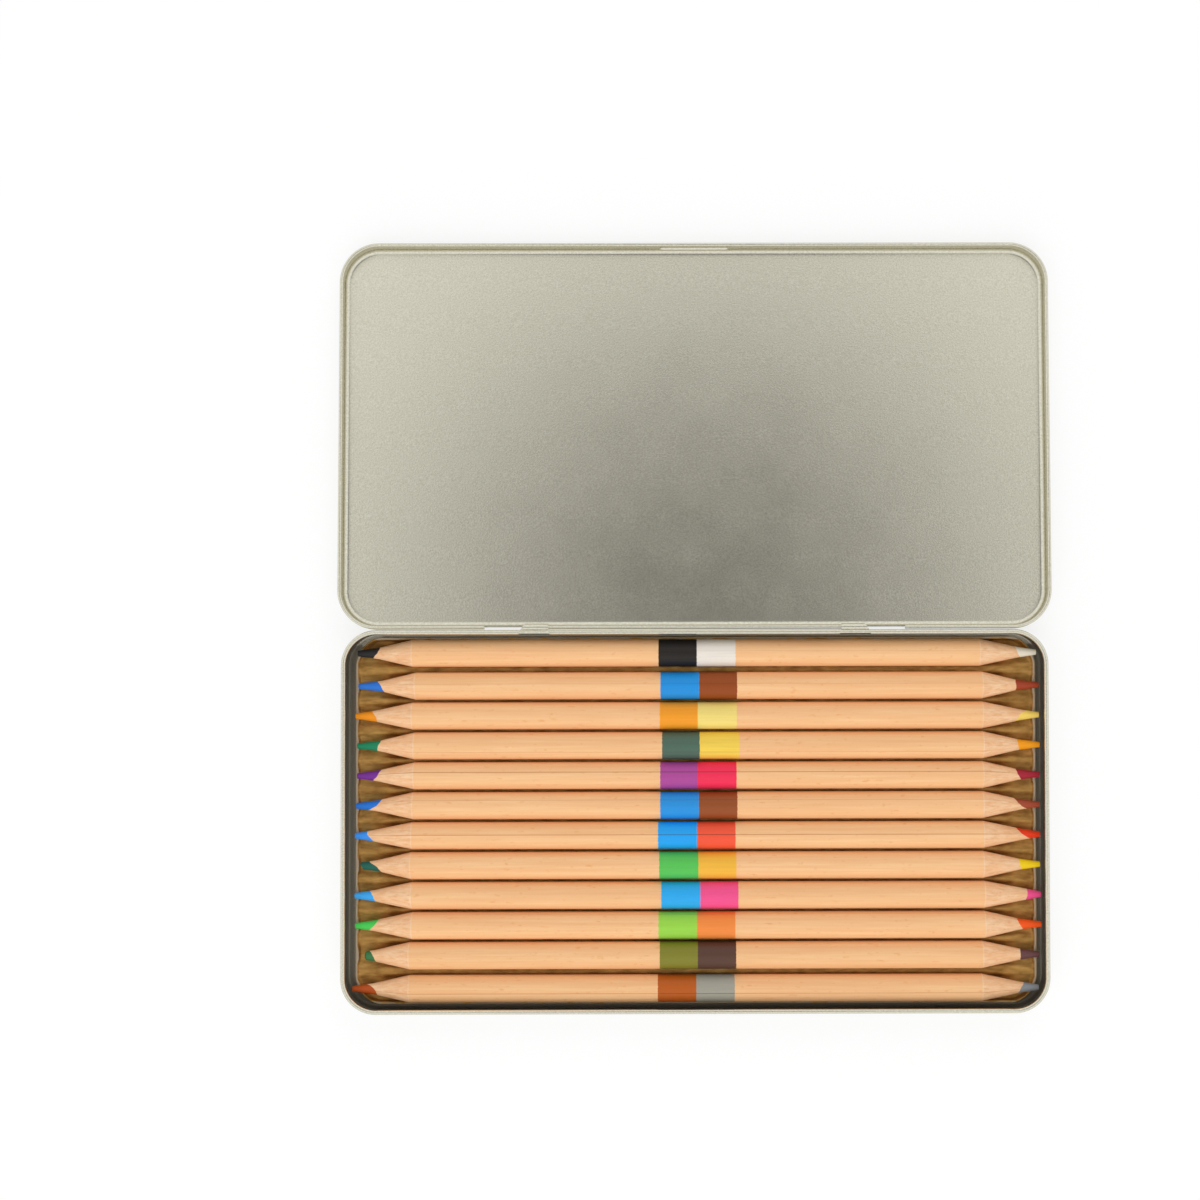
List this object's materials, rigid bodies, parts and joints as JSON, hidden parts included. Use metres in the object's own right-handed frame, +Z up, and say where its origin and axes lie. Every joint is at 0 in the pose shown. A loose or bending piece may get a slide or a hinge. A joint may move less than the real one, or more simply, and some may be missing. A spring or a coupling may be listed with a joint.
{
  "type": "colored pencil tin",
  "caption": "Flat hinged metal tin lying open, its lid flipped back, with round double-ended colored pencils in a gold corrugated tray.",
  "frame": {"origin": "centre of the base's flat underside, between its walls", "axes": "+Z up out of the open base, +Y from the front of the base towards the hinge and the open lid, +X along the pencils towards their right ends"},
  "size_m": [0.1826, 0.1976, 0.0095],
  "materials": {
    "tinplate": "satin, unpainted",
    "gold_film": "metallised gold, glossy",
    "cedar": "smooth, unvarnished, with a painted band in the middle",
    "lead_black": "waxy, cut by a sharpener",
    "lead_white": "waxy, cut by a sharpener",
    "lead_blue": "waxy, cut by a sharpener",
    "lead_brown": "waxy, cut by a sharpener",
    "lead_orange": "waxy, cut by a sharpener",
    "lead_pale_yellow": "waxy, cut by a sharpener",
    "lead_green": "waxy, cut by a sharpener",
    "lead_amber": "waxy, cut by a sharpener",
    "lead_violet": "waxy, cut by a sharpener",
    "lead_crimson": "waxy, cut by a sharpener",
    "lead_azure": "waxy, cut by a sharpener",
    "lead_vermilion": "waxy, cut by a sharpener",
    "lead_pine_green": "waxy, cut by a sharpener",
    "lead_yellow": "waxy, cut by a sharpener",
    "lead_sky_blue": "waxy, cut by a sharpener",
    "lead_pink": "waxy, cut by a sharpener",
    "lead_light_green": "waxy, cut by a sharpener",
    "lead_bright_orange": "waxy, cut by a sharpener",
    "lead_olive_green": "waxy, cut by a sharpener",
    "lead_umber": "waxy, cut by a sharpener",
    "lead_rust": "waxy, cut by a sharpener",
    "lead_grey": "waxy, cut by a sharpener"
  },
  "bodies": {
    "base": {"base_tin": "tinplate"},
    "lid": {"lid": "tinplate"},
    "tray": {"tray": "gold_film"},
    "pencil_01": {"pencil_01_slat_rear": "cedar", "pencil_01_slat_front": "cedar", "pencil_01_core_left": "lead_black", "pencil_01_core_right": "lead_white"},
    "pencil_02": {"pencil_02_slat_rear": "cedar", "pencil_02_slat_front": "cedar", "pencil_02_core_left": "lead_blue", "pencil_02_core_right": "lead_brown"},
    "pencil_03": {"pencil_03_slat_rear": "cedar", "pencil_03_slat_front": "cedar", "pencil_03_core_left": "lead_orange", "pencil_03_core_right": "lead_pale_yellow"},
    "pencil_04": {"pencil_04_slat_rear": "cedar", "pencil_04_slat_front": "cedar", "pencil_04_core_left": "lead_green", "pencil_04_core_right": "lead_amber"},
    "pencil_05": {"pencil_05_slat_rear": "cedar", "pencil_05_slat_front": "cedar", "pencil_05_core_left": "lead_violet", "pencil_05_core_right": "lead_crimson"},
    "pencil_06": {"pencil_06_slat_rear": "cedar", "pencil_06_slat_front": "cedar", "pencil_06_core_left": "lead_blue", "pencil_06_core_right": "lead_brown"},
    "pencil_07": {"pencil_07_slat_rear": "cedar", "pencil_07_slat_front": "cedar", "pencil_07_core_left": "lead_azure", "pencil_07_core_right": "lead_vermilion"},
    "pencil_08": {"pencil_08_slat_rear": "cedar", "pencil_08_slat_front": "cedar", "pencil_08_core_left": "lead_pine_green", "pencil_08_core_right": "lead_yellow"},
    "pencil_09": {"pencil_09_slat_rear": "cedar", "pencil_09_slat_front": "cedar", "pencil_09_core_left": "lead_sky_blue", "pencil_09_core_right": "lead_pink"},
    "pencil_10": {"pencil_10_slat_rear": "cedar", "pencil_10_slat_front": "cedar", "pencil_10_core_left": "lead_light_green", "pencil_10_core_right": "lead_bright_orange"},
    "pencil_11": {"pencil_11_slat_rear": "cedar", "pencil_11_slat_front": "cedar", "pencil_11_core_left": "lead_olive_green", "pencil_11_core_right": "lead_umber"},
    "pencil_12": {"pencil_12_slat_rear": "cedar", "pencil_12_slat_front": "cedar", "pencil_12_core_left": "lead_rust", "pencil_12_core_right": "lead_grey"}
  },
  "joints": [
    {"name": "lid_hinge", "type": "hinge", "parent": "base", "child": "lid", "pos_m": [0, 0.04945, 0.0083], "axis": [-1, 0, 0], "range_deg": [-182.12, 0]},
    {"name": "tray_lift", "type": "slide", "parent": "base", "child": "tray", "axis": [0, 0, 1], "range_m": [0, 0.015]},
    {"name": "pencil_01_lift", "type": "slide", "parent": "tray", "child": "pencil_01", "axis": [0, 0, 1], "range_m": [0, 0.012]},
    {"name": "pencil_02_lift", "type": "slide", "parent": "tray", "child": "pencil_02", "axis": [0, 0, 1], "range_m": [0, 0.012]},
    {"name": "pencil_03_lift", "type": "slide", "parent": "tray", "child": "pencil_03", "axis": [0, 0, 1], "range_m": [0, 0.012]},
    {"name": "pencil_04_lift", "type": "slide", "parent": "tray", "child": "pencil_04", "axis": [0, 0, 1], "range_m": [0, 0.012]},
    {"name": "pencil_05_lift", "type": "slide", "parent": "tray", "child": "pencil_05", "axis": [0, 0, 1], "range_m": [0, 0.012]},
    {"name": "pencil_06_lift", "type": "slide", "parent": "tray", "child": "pencil_06", "axis": [0, 0, 1], "range_m": [0, 0.012]},
    {"name": "pencil_07_lift", "type": "slide", "parent": "tray", "child": "pencil_07", "axis": [0, 0, 1], "range_m": [0, 0.012]},
    {"name": "pencil_08_lift", "type": "slide", "parent": "tray", "child": "pencil_08", "axis": [0, 0, 1], "range_m": [0, 0.012]},
    {"name": "pencil_09_lift", "type": "slide", "parent": "tray", "child": "pencil_09", "axis": [0, 0, 1], "range_m": [0, 0.012]},
    {"name": "pencil_10_lift", "type": "slide", "parent": "tray", "child": "pencil_10", "axis": [0, 0, 1], "range_m": [0, 0.012]},
    {"name": "pencil_11_lift", "type": "slide", "parent": "tray", "child": "pencil_11", "axis": [0, 0, 1], "range_m": [0, 0.012]},
    {"name": "pencil_12_lift", "type": "slide", "parent": "tray", "child": "pencil_12", "axis": [0, 0, 1], "range_m": [0, 0.012]}
  ]
}
